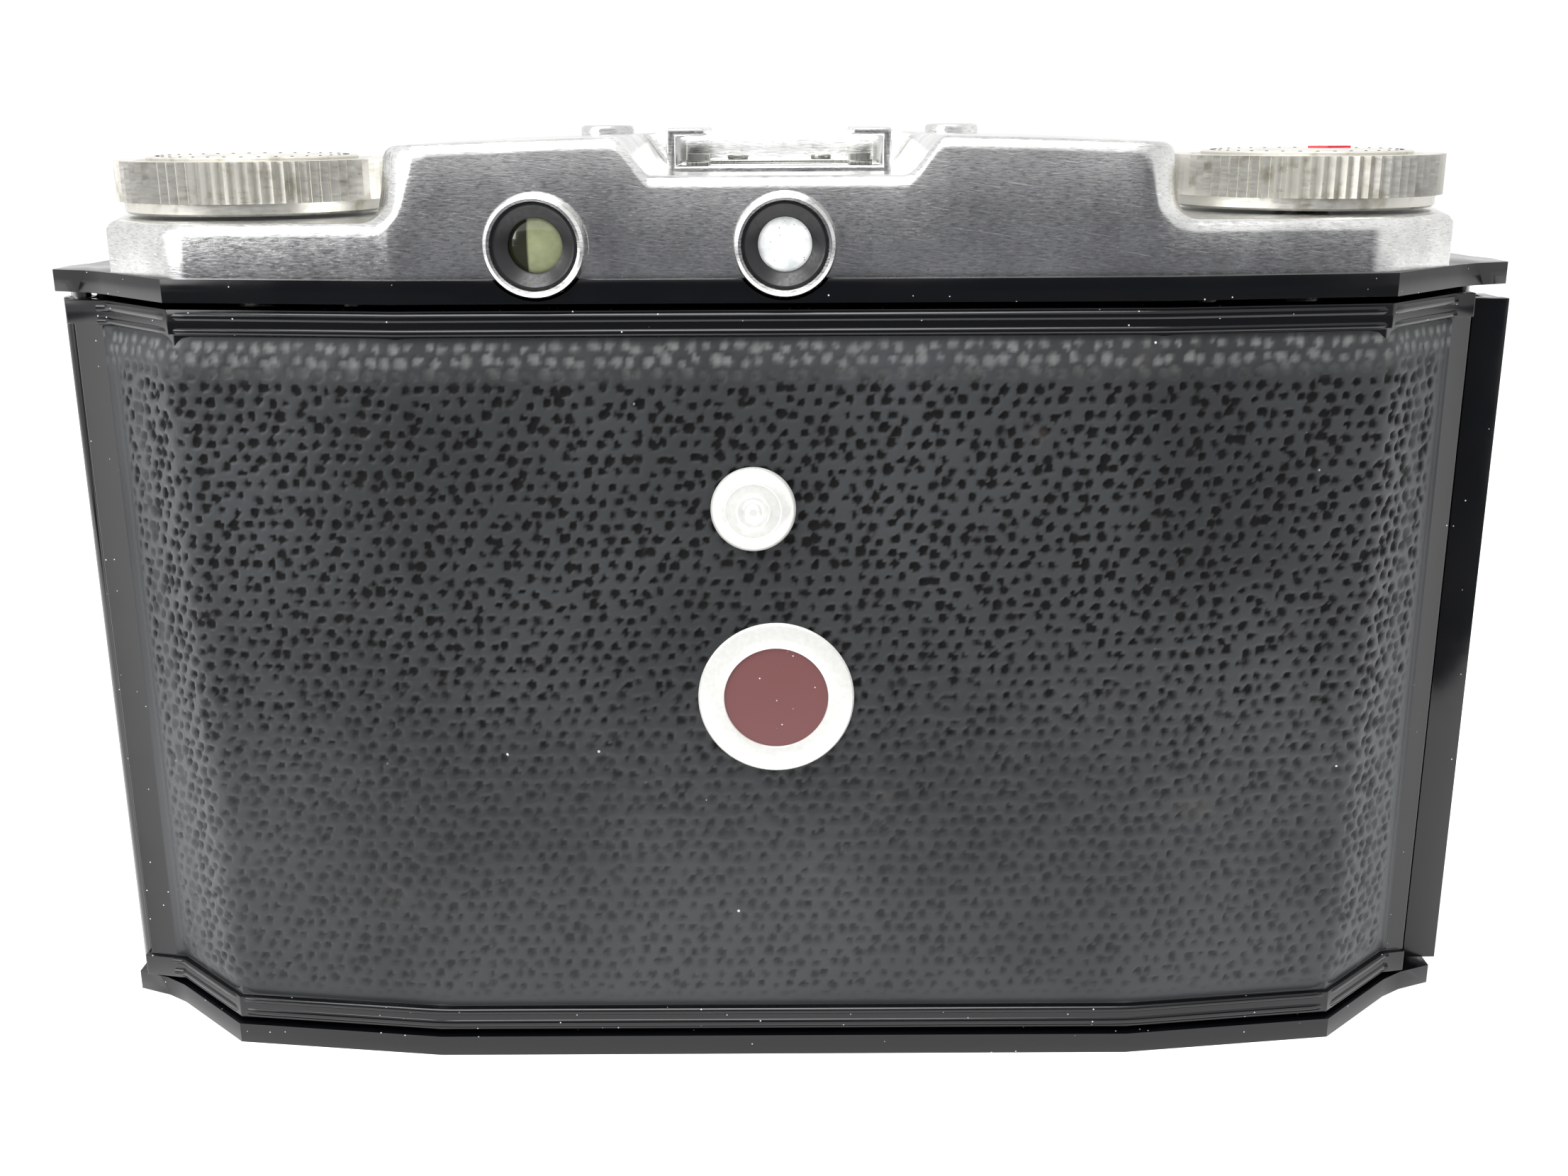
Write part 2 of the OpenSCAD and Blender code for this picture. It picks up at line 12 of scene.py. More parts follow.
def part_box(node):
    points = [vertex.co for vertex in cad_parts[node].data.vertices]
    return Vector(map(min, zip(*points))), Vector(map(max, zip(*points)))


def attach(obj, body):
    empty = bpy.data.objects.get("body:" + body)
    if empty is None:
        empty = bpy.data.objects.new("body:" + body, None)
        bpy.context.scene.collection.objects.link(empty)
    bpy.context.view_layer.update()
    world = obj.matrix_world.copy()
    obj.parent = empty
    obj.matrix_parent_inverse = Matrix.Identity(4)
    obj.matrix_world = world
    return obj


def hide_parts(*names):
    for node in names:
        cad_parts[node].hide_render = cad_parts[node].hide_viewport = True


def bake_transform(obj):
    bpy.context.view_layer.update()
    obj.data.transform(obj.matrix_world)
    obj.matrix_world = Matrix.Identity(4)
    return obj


MM = 0.001
SPOOL_X, SPOOL_Y, LENS_Z = 49.5, 1.0, 37.0  # axes of the spools and wheels, and of the lens, in mm
UP, BACKWARD, FORWARD = (0, 0, 1), (0, 1, 0), (0, -1, 0)
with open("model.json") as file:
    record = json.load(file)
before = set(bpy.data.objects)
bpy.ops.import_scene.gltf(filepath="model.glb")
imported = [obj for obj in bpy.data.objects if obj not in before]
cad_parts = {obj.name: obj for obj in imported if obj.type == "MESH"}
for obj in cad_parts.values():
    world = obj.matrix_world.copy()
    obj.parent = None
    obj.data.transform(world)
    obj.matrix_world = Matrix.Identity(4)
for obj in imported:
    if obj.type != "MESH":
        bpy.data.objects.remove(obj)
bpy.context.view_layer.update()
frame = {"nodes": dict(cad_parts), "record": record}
RECORD = frame["record"]
BODY_OF = {node: body for body, nodes in RECORD["behaviour"]["bodies"].items() for node in nodes}
SLOT_OF = {row["node"]: row["material_slot"] for row in RECORD["subparts"]}


# ---------------------------------------------------------------- camera, lights and floor
def make_camera():
    """A 38 mm lens on a 36 mm wide sensor, a hand's length behind the back door, tilted down."""
    place = Vector((-0.5, 161.5, 87.3)) * MM
    tilt, turn, roll = math.radians(16.0), math.radians(0.1), math.radians(-0.31)
    ahead = Vector((math.sin(turn) * math.cos(tilt), -math.cos(turn) * math.cos(tilt), -math.sin(tilt)))
    right = Vector((-math.cos(turn), -math.sin(turn), 0))
    up = right.cross(ahead)
    right_rolled = right * math.cos(roll) + up * math.sin(roll)
    up_rolled = up * math.cos(roll) - right * math.sin(roll)
    data = bpy.data.cameras.new("camera")
    data.sensor_width, data.lens = 36.0, 37.87
    data.clip_start, data.clip_end = 0.01, 20
    camera = bpy.data.objects.new("camera", data)
    bpy.context.collection.objects.link(camera)
    basis = Matrix((right_rolled, up_rolled, -ahead)).transposed()
    camera.matrix_world = Matrix.Translation(place) @ basis.to_4x4()
    bpy.context.scene.camera = camera


def linear(code, alpha=1.0):
    """An sRGB hex colour as linear RGBA."""
    parts = [int(code[i:i + 2], 16) / 255 for i in (1, 3, 5)]
    return tuple(c / 12.92 if c <= 0.04045 else ((c + 0.055) / 1.055) ** 2.4 for c in parts) + (alpha,)


def node(tree, kind, links=(), **settings):
    """Adds a shader or geometry node: sockets by name in links, plain settings by attribute."""
    made = tree.nodes.new(kind)
    for key, value in settings.items():
        setattr(made, key, value)
    for name, value in dict(links).items():
        socket = made.inputs[name]
        if isinstance(value, bpy.types.NodeSocket):
            tree.links.new(value, socket)
        else:
            socket.default_value = value
    return made


def card(name, corners, colour, strength):
    """A flat glowing card that only reflections see."""
    mesh = bpy.data.meshes.new(name)
    mesh.from_pydata([Vector(c) * MM for c in corners], [], [(0, 1, 2, 3)])
    piece = bpy.data.objects.new(name, mesh)
    bpy.context.collection.objects.link(piece)
    paint = bpy.data.materials.new(name)
    paint.use_nodes = True
    tree = paint.node_tree
    tree.nodes.clear()
    glow = node(tree, "ShaderNodeEmission", {"Color": linear(colour), "Strength": strength})
    node(tree, "ShaderNodeOutputMaterial", {"Surface": glow.outputs[0]})
    mesh.materials.append(paint)
    piece.visible_camera = piece.visible_diffuse = piece.visible_shadow = False


def area_light(name, place, size, power):
    data = bpy.data.lights.new(name, "AREA")
    data.shape, data.size, data.energy = "SQUARE", size, power
    lamp = bpy.data.objects.new(name, data)
    lamp.location = place
    lamp.rotation_euler = (-Vector(place)).to_track_quat("-Z", "Y").to_euler()
    bpy.context.collection.objects.link(lamp)


def make_stage():
    """A white table that runs out of sight, soft light from above, and two grey cards for the metal."""
    mesh = bpy.data.meshes.new("table")
    mesh.from_pydata([(-4, -4, 0), (4, -4, 0), (4, 4, 0), (-4, 4, 0)], [], [(0, 1, 2, 3)])
    table = bpy.data.objects.new("table", mesh)
    bpy.context.collection.objects.link(table)
    paint = bpy.data.materials.new("white_table")
    paint.use_nodes = True
    shader = paint.node_tree.nodes["Principled BSDF"]
    shader.inputs["Base Color"].default_value = linear("#fcfcfc")
    shader.inputs["Roughness"].default_value = 0.8
    mesh.materials.append(paint)
    world = bpy.data.worlds.new("studio")
    world.use_nodes = True
    world.node_tree.nodes["Background"].inputs["Color"].default_value = linear("#ffffff")
    world.node_tree.nodes["Background"].inputs["Strength"].default_value = 1.06
    bpy.context.scene.world = world
    card("floor_card", [(-700, 88, 0.4), (-700, 900, 0.4), (700, 900, 0.4), (700, 88, 0.4)], "#7b7c80", 1.0)
    card("wall_card", [(-900, 900, 0), (-900, 900, 420), (900, 900, 420), (900, 900, 0)], "#6c6d72", 1.0)
    area_light("softbox", (0.1, 0.25, 0.75), 0.6, 9)
    area_light("left_fill", (0.7, 0.5, 0.35), 0.4, 3)
    bpy.context.scene.view_settings.view_transform = "Standard"


# ---------------------------------------------------------------- materials
def begin(name, base, metallic, roughness):
    """A new material with its shader and Object coordinates in metres."""
    paint = bpy.data.materials.new(name)
    paint.use_nodes = True
    tree = paint.node_tree
    shader = tree.nodes["Principled BSDF"]
    shader.inputs["Base Color"].default_value = linear(base)
    shader.inputs["Metallic"].default_value = metallic
    shader.inputs["Roughness"].default_value = roughness
    place = node(tree, "ShaderNodeTexCoord").outputs["Object"]
    return paint, tree, shader, place


def noise(tree, place, size_mm, stretch=(1, 1, 1), detail=3.0, rough=0.55):
    """Noise whose blobs are about size_mm across, stretched by the given factors."""
    scaled = node(tree, "ShaderNodeMapping", {"Vector": place,
        "Scale": tuple(1 / (size_mm * MM * s) for s in stretch)}).outputs[0]
    return node(tree, "ShaderNodeTexNoise", {"Vector": scaled, "Scale": 1.0, "Detail": detail,
        "Roughness": rough}).outputs[0]


def ramp(tree, value, low, high, to_low=0.0, to_high=1.0):
    """Takes a value from low..high to to_low..to_high, held at its ends."""
    return node(tree, "ShaderNodeMapRange", {"Value": value, "From Min": low, "From Max": high,
        "To Min": to_low, "To Max": to_high}).outputs[0]


def mixed(tree, factor, colour_a, colour_b):
    made = node(tree, "ShaderNodeMix", data_type="RGBA")
    tree.links.new(factor, made.inputs[0])
    for socket, value in ((made.inputs[6], colour_a), (made.inputs[7], colour_b)):
        if isinstance(value, bpy.types.NodeSocket):
            tree.links.new(value, socket)
        else:
            socket.default_value = value
    return made.outputs[2]


def specks(tree, place, spacing_mm, share, radius):
    """Dust: 1 at a few small dots, one cell in every so many, 0 elsewhere."""
    scaled = node(tree, "ShaderNodeMapping", {"Vector": place,
        "Scale": (1 / (spacing_mm * MM),) * 3}).outputs[0]
    cells = node(tree, "ShaderNodeTexVoronoi", {"Vector": scaled, "Scale": 1.0})
    near = ramp(tree, cells.outputs["Distance"], radius * 0.6, radius, 1.0, 0.0)
    pick = ramp(tree, node(tree, "ShaderNodeSeparateColor", {"Color": cells.outputs["Color"]}).outputs[0],
        1 - share, 1 - share + 0.01)
    return node(tree, "ShaderNodeMath", {0: near, 1: pick}, operation="MULTIPLY").outputs[0]


def bump(tree, shader, height, strength, distance_mm):
    tilt = node(tree, "ShaderNodeBump", {"Height": height, "Strength": strength,
        "Distance": distance_mm * MM})
    tree.links.new(tilt.outputs[0], shader.inputs["Normal"])


def dusted(tree, shader, base, dust):
    """Base colour with pale dust on it."""
    tree.links.new(mixed(tree, dust, base, linear("#b9bdc2")), shader.inputs["Base Color"])


def stoved_enamel():
    """Black stoving enamel on a die casting: deep gloss, faint orange peel, dust and worn haze."""
    paint, tree, shader, place = begin("stoved_enamel", "#050608", 0.0, 0.16)
    tree.links.new(ramp(tree, noise(tree, place, 9.0), 0.35, 0.7, 0.1, 0.24), shader.inputs["Roughness"])
    shader.inputs["Specular IOR Level"].default_value = 0.42
    dusted(tree, shader, linear("#050608"), specks(tree, place, 0.8, 0.22, 0.1))
    bump(tree, shader, noise(tree, place, 1.6, detail=1.0), 0.12, 0.05)
    return paint


def satin_chrome():
    """Satin chromium plate on brass: cloudy haze, fine scuffs mostly along X, specks of dust."""
    paint, tree, shader, place = begin("satin_chrome", "#d4d4d4", 1.0, 0.2)
    fine = noise(tree, place, 0.16, stretch=(5, 3, 1), detail=5.0, rough=0.75)
    haze = noise(tree, place, 6.0)
    tone = mixed(tree, ramp(tree, haze, 0.35, 0.65), linear("#cccccb"), linear("#ececea"))
    worn = mixed(tree, ramp(tree, fine, 0.38, 0.5, 0.3, 0.0), tone, linear("#6a6a6c"))
    turned = node(tree, "ShaderNodeMapping", {"Vector": place, "Rotation": (0.0, 0.16, 0.0)}).outputs[0]
    scuff = ramp(tree, noise(tree, turned, 0.09, stretch=(40, 8, 1), detail=1.0), 0.69, 0.73)
    scuffed = mixed(tree, scuff, worn, linear("#ffffff"))
    dusted(tree, shader, scuffed, specks(tree, place, 0.55, 0.16, 0.16))
    tree.links.new(ramp(tree, fine, 0.3, 0.7, 0.12, 0.3), shader.inputs["Roughness"])
    bump(tree, shader, fine, 0.45, 0.03)
    return paint


def turned_aluminium():
    """Turned and lightly anodised aluminium: pale, matt, with tool marks and patches of grime."""
    paint, tree, shader, place = begin("turned_aluminium", "#dddbd3", 0.8, 0.34)
    marks = noise(tree, place, 0.25, stretch=(6, 6, 1))
    grime = ramp(tree, noise(tree, place, 2.2), 0.55, 0.75)
    tree.links.new(mixed(tree, grime, linear("#cdcbc3"), linear("#a39e8f")), shader.inputs["Base Color"])
    tree.links.new(ramp(tree, marks, 0.3, 0.7, 0.26, 0.44), shader.inputs["Roughness"])
    bump(tree, shader, marks, 0.15, 0.03)
    return paint


def satin_aluminium():
    """Etched aluminium of the window ring and knob: almost white, soft, faintly turned."""
    paint, tree, shader, place = begin("satin_aluminium", "#dadad5", 0.5, 0.3)
    marks = noise(tree, place, 0.5)
    tree.links.new(mixed(tree, marks, linear("#d2d2cc"), linear("#ececea")), shader.inputs["Base Color"])
    bump(tree, shader, marks, 0.1, 0.02)
    return paint


def plain_steel():
    """Rolled spring steel: grey, with brushed streaks along Z."""
    paint, tree, shader, place = begin("rolled_steel", "#a9a9a4", 1.0, 0.3)
    streak = noise(tree, place, 0.2, stretch=(1, 1, 20))
    tree.links.new(ramp(tree, streak, 0.3, 0.7, 0.22, 0.42), shader.inputs["Roughness"])
    tree.links.new(mixed(tree, streak, linear("#9a9a96"), linear("#bcbcb8")), shader.inputs["Base Color"])
    return paint


def spring_brass():
    """Half-hard brass strip: yellow, dulled by handling."""
    paint, tree, shader, place = begin("spring_brass", "#b79a58", 1.0, 0.32)
    dull = noise(tree, place, 2.5)
    tree.links.new(mixed(tree, dull, linear("#8d7440"), linear("#c9ad6a")), shader.inputs["Base Color"])
    return paint


def pebbled_leather():
    """Pressed leather cloth: worn sheen on the skin, painted shade that makes the pits near black
    (attribute pit), and a painted highlight that makes the hem pale where it catches the light (attribute
    rub)."""
    paint, tree, shader, place = begin("pebbled_leather", "#3a3d40", 0.0, 0.42)
    pit = node(tree, "ShaderNodeAttribute", attribute_name="pit").outputs["Fac"]
    fade = noise(tree, place, 26.0, detail=2.0)
    top = mixed(tree, ramp(tree, fade, 0.35, 0.65), linear("#262829"), linear("#333537"))
    # painted shade: the pits are painted near black, as the shade that gathers in them
    skin = mixed(tree, ramp(tree, pit, 0.04, 0.55), top, linear("#020203"))
    # painted highlight: pits on the hem's crest are painted pale, as the light the crest catches
    hem_highlight = node(tree, "ShaderNodeAttribute", attribute_name="hem_highlight").outputs["Fac"]
    with_hem_highlight = mixed(tree, ramp(tree, hem_highlight, 0.0, 1.0, 0.0, 0.7), skin, linear("#6f7170"))
    stain = ramp(tree, noise(tree, place, 7.0), 0.68, 0.78, 0.0, 0.3)
    worn = mixed(tree, stain, with_hem_highlight, linear("#4a4440"))
    dusted(tree, shader, worn, specks(tree, place, 1.4, 0.02, 0.11))
    shader.inputs["Specular IOR Level"].default_value = 0.24
    tree.links.new(ramp(tree, pit, 0.0, 0.6, 0.4, 0.8), shader.inputs["Roughness"])
    bump(tree, shader, noise(tree, place, 0.35, detail=3.0), 0.3, 0.06)
    return paint


def clear_glass(name, tint, rough, alpha):
    """Polished optical glass with a thin film of dust."""
    paint, tree, shader, place = begin(name, tint, 0.0, rough)
    dusted(tree, shader, linear(tint), specks(tree, place, 0.5, 0.10, 0.16))
    shader.inputs["Coat Weight"].default_value = 1.0 if alpha < 1 else 0.0
    shader.inputs["Alpha"].default_value = alpha
    return paint


def matt_black(name, base, rough):
    """Black anodised or moulded parts: even, matt, with a fine grain."""
    paint, tree, shader, place = begin(name, base, 0.0, rough)
    grain = noise(tree, place, 0.3)
    tree.links.new(ramp(tree, grain, 0.3, 0.7, rough - 0.08, rough + 0.1), shader.inputs["Roughness"])
    bump(tree, shader, grain, 0.15, 0.02)
    return paint


def silvered():
    """Front-silvered mirror with a little clouding."""
    paint, tree, shader, place = begin("silvered_glass", "#d8dcdc", 1.0, 0.04)
    tree.links.new(ramp(tree, noise(tree, place, 2.0), 0.4, 0.8, 0.02, 0.12), shader.inputs["Roughness"])
    return paint


def make_materials():
    return {
        "black_enamel": stoved_enamel(), "chrome": satin_chrome(), "aluminium": turned_aluminium(),
        "white_aluminium": satin_aluminium(),
        "steel": plain_steel(), "brass": spring_brass(), "leather": pebbled_leather(),
        "glass": clear_glass("coated_glass", "#5f6f78", 0.05, 0.75),
        "tinted_glass": clear_glass("gold_tinted_glass", "#8f966a", 0.08, 0.9),
        "red_glass": clear_glass("ruby_glass", "#623b3b", 0.3, 1.0), "mirror": silvered(),
        "black_anodised": matt_black("black_anodised", "#111214", 0.38),
        "moulded_black": matt_black("moulded_bakelite", "#17171a", 0.3),
        "bellows_cloth": matt_black("bellows_cloth", "#18181a", 0.62),
    }


# ---------------------------------------------------------------- mesh helpers
def piece_from(name, mesh, body, slot_name, *replaced):
    """A finished piece: named, riding on its body, with its slot's material."""
    piece = bpy.data.objects.new(name, mesh)
    bpy.context.collection.objects.link(piece)
    mesh.materials.clear()
    mesh.materials.append(PAINT[slot_name])
    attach(piece, body)
    if replaced:
        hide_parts(*replaced)
    return piece


def smooth(mesh, angle=32):
    """Smooth shading, broken where faces meet at more than the angle."""
    work = bmesh.new()
    work.from_mesh(mesh)
    for face in work.faces:
        face.smooth = True
    for edge in work.edges:
        edge.smooth = len(edge.link_faces) == 2 and edge.calc_face_angle(0) < math.radians(angle)
    work.to_mesh(mesh)
    work.free()
    return mesh


def mesh_of(name, verts, faces):
    """A mesh from points in millimetres."""
    mesh = bpy.data.meshes.new(name)
    mesh.from_pydata([Vector(v) * MM for v in verts], [], faces)
    mesh.update()
    return mesh


def outward(mesh):
    """Merges doubles and turns a closed mesh's faces outwards."""
    work = bmesh.new()
    work.from_mesh(mesh)
    bmesh.ops.remove_doubles(work, verts=work.verts, dist=1e-6)
    bmesh.ops.recalc_face_normals(work, faces=work.faces)
    work.to_mesh(mesh)
    work.free()
    return mesh


def baked(holder):
    """The evaluated mesh of an object, which is then removed."""
    mesh = bpy.data.meshes.new_from_object(holder.evaluated_get(bpy.context.evaluated_depsgraph_get()))
    bpy.data.objects.remove(holder)
    return mesh


def eased(cad_node, width_mm, segments=2, angle=35):
    """The CAD piece with its sharp edges rounded over, as moulding, casting or polishing leaves them."""
    mesh = frame["nodes"][cad_node].data.copy()
    work = bmesh.new()
    work.from_mesh(mesh)
    bmesh.ops.remove_doubles(work, verts=work.verts, dist=2e-6)
    bmesh.ops.dissolve_limit(work, angle_limit=math.radians(0.6), verts=work.verts, edges=work.edges)
    work.to_mesh(mesh)
    work.free()
    holder = bpy.data.objects.new("holder", mesh)
    bpy.context.collection.objects.link(holder)
    edge = holder.modifiers.new("ease", "BEVEL")
    edge.width, edge.segments, edge.limit_method = width_mm * MM, segments, "ANGLE"
    edge.angle_limit = math.radians(angle)
    edge.use_clamp_overlap = True
    mesh = smooth(baked(holder), 40)
    mesh.name = cad_node + "_finished"
    return piece_from(cad_node + "_finished", mesh, BODY_OF[cad_node], SLOT_OF[cad_node], cad_node)


def lathe(name, profile, centre, axis, body, slot_name, *replaced, steps=96):
    """A turned piece. profile: (radius, distance along the axis) in mm; closed on the axis or as a ring."""
    turned = Vector(axis).to_track_quat("Z", "Y").to_matrix()
    ring = profile[0][0] > 0
    verts, faces = [], []
    for k in range(steps):
        a = 2 * math.pi * k / steps
        for r, h in profile:
            verts.append(Vector(centre) + turned @ Vector((r * math.cos(a), r * math.sin(a), h)))
    n = len(profile)
    for k in range(steps):
        here, there = k * n, (k + 1) % steps * n
        for i in range(n if ring else n - 1):
            j = (i + 1) % n
            faces.append((here + i, there + i, there + j, here + j))
    mesh = smooth(outward(mesh_of(name, verts, faces)), 34)
    return piece_from(name, mesh, body, slot_name, *replaced)


def make_springs():
    """The pressure plate's brass springs, a smoothed copy of the CAD piece; on the camera they flatten
    against the door as the plate floats back, but here they keep their imported shape.
    """
    mesh = smooth(outward(frame["nodes"]["plate_springs"].data.copy()))
    mesh.materials.clear()
    mesh.materials.append(PAINT["brass"])
    piece = bpy.data.objects.new("plate_springs_flexing", mesh)
    bpy.context.collection.objects.link(piece)
    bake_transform(piece)
    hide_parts("plate_springs")


# ---------------------------------------------------------------- leather
PIT_SPACING, PIT_RADIUS, PIT_DEPTH = 1.4, 0.55, 0.27
LEATHER_T = 0.7
CLOUD_SEED = 7


def pits(length, height, seed):
    """Centres, sizes and depths of the leather's pits, on a jittered staggered grid."""
    dice = random.Random(seed)
    found = []
    rows = int(height / (PIT_SPACING * 0.87)) + 2
    for row in range(rows):
        for k in range(int(length / PIT_SPACING) + 2):
            found.append((
                (k + 0.5 * (row % 2) + dice.uniform(-0.24, 0.24)) * PIT_SPACING,
                (row + dice.uniform(-0.22, 0.22)) * PIT_SPACING * 0.87,
                PIT_RADIUS * dice.uniform(0.7, 1.1),
                dice.uniform(0.65, 1.0)))
    return found


def stations_along(path, step):
    """Points about a step apart along a path in plan, with the distance run and the facing at each."""
    corners = [Vector(p) for p in path]
    stations, run = [], 0.0
    for a, b in zip(corners, corners[1:]):
        span = (b - a).length
        count = max(1, round(span / step))
        stations += [(a.lerp(b, i / count), run + span * i / count) for i in range(count)]
        run += span
    stations.append((corners[-1], run))
    facings = []
    for i in range(len(stations)):
        lo, hi = max(0, i - 3), min(len(stations) - 1, i + 3)
        along = (stations[hi][0] - stations[lo][0]).normalized()
        facings.append(Vector((along.y, -along.x)))
    return stations, facings, run


def pit_at(field, tree, s, z, seed):
    """How deep the pressed pits are at a place on the sheet, from 0 to 1, with ragged rims."""
    shift = cloud.noise_vector(Vector((s * 1.7, z * 1.7, seed))) * 0.26
    _, index, away = tree.find((s + shift.x, z + shift.y, 0))
    _, _, radius, depth = field[index]
    return depth * min(1.0, 1.3 * max(0.0, 1 - (away / radius) ** 2))


def hem_crest(under, beside, hem):
    """How far the sheet's rolled hem catches the light: below its top edge, and less beside its ends."""
    if hem <= 1:
        return 0.0
    return max(soft_step(under / 0.8) * soft_step((4.4 - under) / 3),
        0.4 * soft_step(beside / 0.8) * soft_step((4 - beside) / 3))


def sheet_faces(columns, m):
    """Faces of a grid of columns of m points, and the strips that close it behind."""
    last = columns - 1
    faces = [(i * m + j, i * m + j + 1, (i + 1) * m + j + 1, (i + 1) * m + j)
             for i in range(last) for j in range(m - 1)]
    for i in range(last):
        left = [i * m + j for j in range(m)] if i == 0 else [i * m, i * m + m - 1]
        right = [last * m + j for j in range(m)] if i == last - 1 else [(i + 1) * m, (i + 1) * m + m - 1]
        faces.append(tuple(right[::-1] + left))
    return faces


def leather_sheet(name, path, z0, z1, step, seed, body, replaced, pillow=3.0, hem=0.8):
    """Pressed leather glued on a wall that follows path in plan, outwards to the path's right."""
    cloud.seed_set(CLOUD_SEED)  # unseeded, Blender takes the clock and each run presses other pits
    stations, facings, run = stations_along(path, step)
    tall = z1 - z0
    rows = round(tall / step)
    field = pits(run, tall, seed)
    tree = kdtree.KDTree(len(field))
    for i, (s, z, _, _) in enumerate(field):
        tree.insert((s, z, 0), i)
    tree.balance()
    verts, pit_shade, shine = [], [], []
    for (place, s), facing in zip(stations, facings):
        end = min(s, run - s)
        for j in range(rows + 1):
            z = tall * j / rows
            border = min(z, tall - z)
            edge = max(min(end, border), 0)
            lift = LEATHER_T * math.sin(min(1.0, edge / pillow) * math.pi / 2) ** 0.85
            swell = 0.03 * cloud.noise(Vector((s * 0.8, z * 0.8, seed + 9)))
            fade = soft_step((end / hem - 0.4) / 0.6) * soft_step((border - 0.4) / 2)
            pit = pit_at(field, tree, s, z, seed)
            point = place + facing * max(lift - (PIT_DEPTH * pit + swell) * fade, 0.0)
            verts.append((point.x, point.y, z0 + z))
            crest = hem_crest(tall - z, end - hem, hem)
            # painted highlight: how pale the pits on the hem's crest are painted
            shine.append(pit * crest)
            # painted shade: how dark the pits are painted, none on the hem's crest, less near the sheet's
            # edges and towards its foot
            pit_shade.append(pit * fade * (1 - crest) * (0.3 + 0.7 * soft_step((z - 14) / 34)))
    mesh = mesh_of(name, verts, sheet_faces(len(stations), rows + 1))
    for label, values in (("pit", pit_shade), ("hem_highlight", shine)):
        mesh.attributes.new(label, "FLOAT", "POINT").data.foreach_set("value", values)
    for polygon in mesh.polygons:
        polygon.use_smooth = len(polygon.vertices) == 4
    return piece_from(name, mesh, body, "leather", replaced)


BACK_PATH = [(62.2, 9.35), (61.0, 9.6), (52.95, 17.12), (32.95, 19.7),
             (-32.95, 19.7), (-52.95, 17.12), (-61.0, 9.6), (-61.6, 9.5)]


def rounded(path, reach):
    """The path with each inner corner cut into a short curve."""
    made = [Vector(path[0])]
    for a, b, c in zip(path, path[1:], path[2:]):
        a, b, c = Vector(a), Vector(b), Vector(c)
        cut = min(reach, (a - b).length * 0.45, (c - b).length * 0.45)
        start, stop = b + (a - b).normalized() * cut, b + (c - b).normalized() * cut
        for t in (0, 0.25, 0.5, 0.75, 1):
            made.append(start.lerp(b, t).lerp(b.lerp(stop, t), t))
    made.append(Vector(path[-1]))
    return made


def make_leather():
    """Back door, both front panels and the front door."""
    low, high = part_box("back_leather")
    leather_sheet("back_leather_pressed", rounded(BACK_PATH[::-1], 1.6)[::-1], low.z / MM + 0.05,
        high.z / MM - 0.05, 0.3, 11, BODY_OF["back_leather"], "back_leather", pillow=4.2, hem=4.0)
    low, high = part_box("front_leather")
    centre, radius = Vector((SPOOL_X, SPOOL_Y)), 15.3
    arc = [centre + Vector((math.cos(a), math.sin(a))) * radius
           for a in (math.radians(d) for d in range(-90, -11, 6))]
    side = [Vector((37.2, -14.3))] + arc
    other = [Vector((-p.x, p.y)) for p in side][::-1]
    for tag, path, node_name in (("left", side, "front_leather"), ("right", other, "front_leather")):
        leather_sheet("front_leather_" + tag, path, low.z / MM, high.z / MM, 0.33, 23, BODY_OF[node_name],
            node_name, pillow=1.2)
    low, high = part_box("front_door_leather")
    leather_sheet("front_door_leather_pressed", [(low.x / MM, high.y / MM), (high.x / MM, high.y / MM)],
        low.z / MM, high.z / MM, 0.33, 31, BODY_OF["front_door_leather"], "front_door_leather", pillow=1.2)


def rolled_edge(name, path, z, radius, body, slot_name, proud=0.7, steps=10):
    """A rounded bead along a wall that follows path in plan, standing proud of it to the path's right."""
    corners = [Vector(p) for p in path]
    verts, faces = [], []
    for i, place in enumerate(corners):
        along = (corners[min(i + 1, len(corners) - 1)] - corners[max(i - 1, 0)]).normalized()
        facing = Vector((along.y, -along.x))
        for k in range(steps):
            a = 2 * math.pi * k / steps
            point = place + facing * (proud - radius + radius * math.cos(a))
            verts.append((point.x, point.y, z + radius * math.sin(a)))
    for i in range(len(corners) - 1):
        for k in range(steps):
            after = (k + 1) % steps
            faces.append((i * steps + k, i * steps + after, (i + 1) * steps + after, (i + 1) * steps + k))
    faces += [tuple(range(steps))[::-1], tuple(range(len(verts) - steps, len(verts)))]
    return piece_from(name, smooth(outward(mesh_of(name, verts, faces)), 50), body, slot_name)


def make_rims():
    """The cast door's rounded rims, above and below its leather."""
    low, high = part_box("back_leather")
    door_low, door_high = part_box("back_door")
    path = rounded(BACK_PATH[::-1], 1.6)[::-1]
    rims = (("top_outer", door_high.z / MM - 0.62, 0.55), ("top_inner", high.z / MM + 0.42, 0.36),
            ("foot_inner", low.z / MM - 0.42, 0.36), ("foot_outer", door_low.z / MM + 0.62, 0.55))
    for tag, z, radius in rims:
        rolled_edge("door_rim_" + tag, path, z, radius, "back", "black_enamel")


# ---------------------------------------------------------------- top cover
SHOULDER_Z, HUMP_Z, COVER_BACK, COVER_FRONT = 78.6, 84.9, 19.2, -14.2
HUMP_X, HUMP_CORNER, EDGE_R = 34.0, 4.0, 1.15


def cover_plan():
    """The cover's outline in plan, counter-clockwise, in millimetres."""
    half = [(SPOOL_X + 13.4 * math.cos(a), SPOOL_Y + 15.2 * math.sin(a)) for a in
            (math.radians(d) for d in range(-90, 1, 5))]
    half += [(60.1, 11.3), (52.65, 16.7), (33.0, COVER_BACK)]
    return half + [(-x, y) for x, y in half[::-1]]


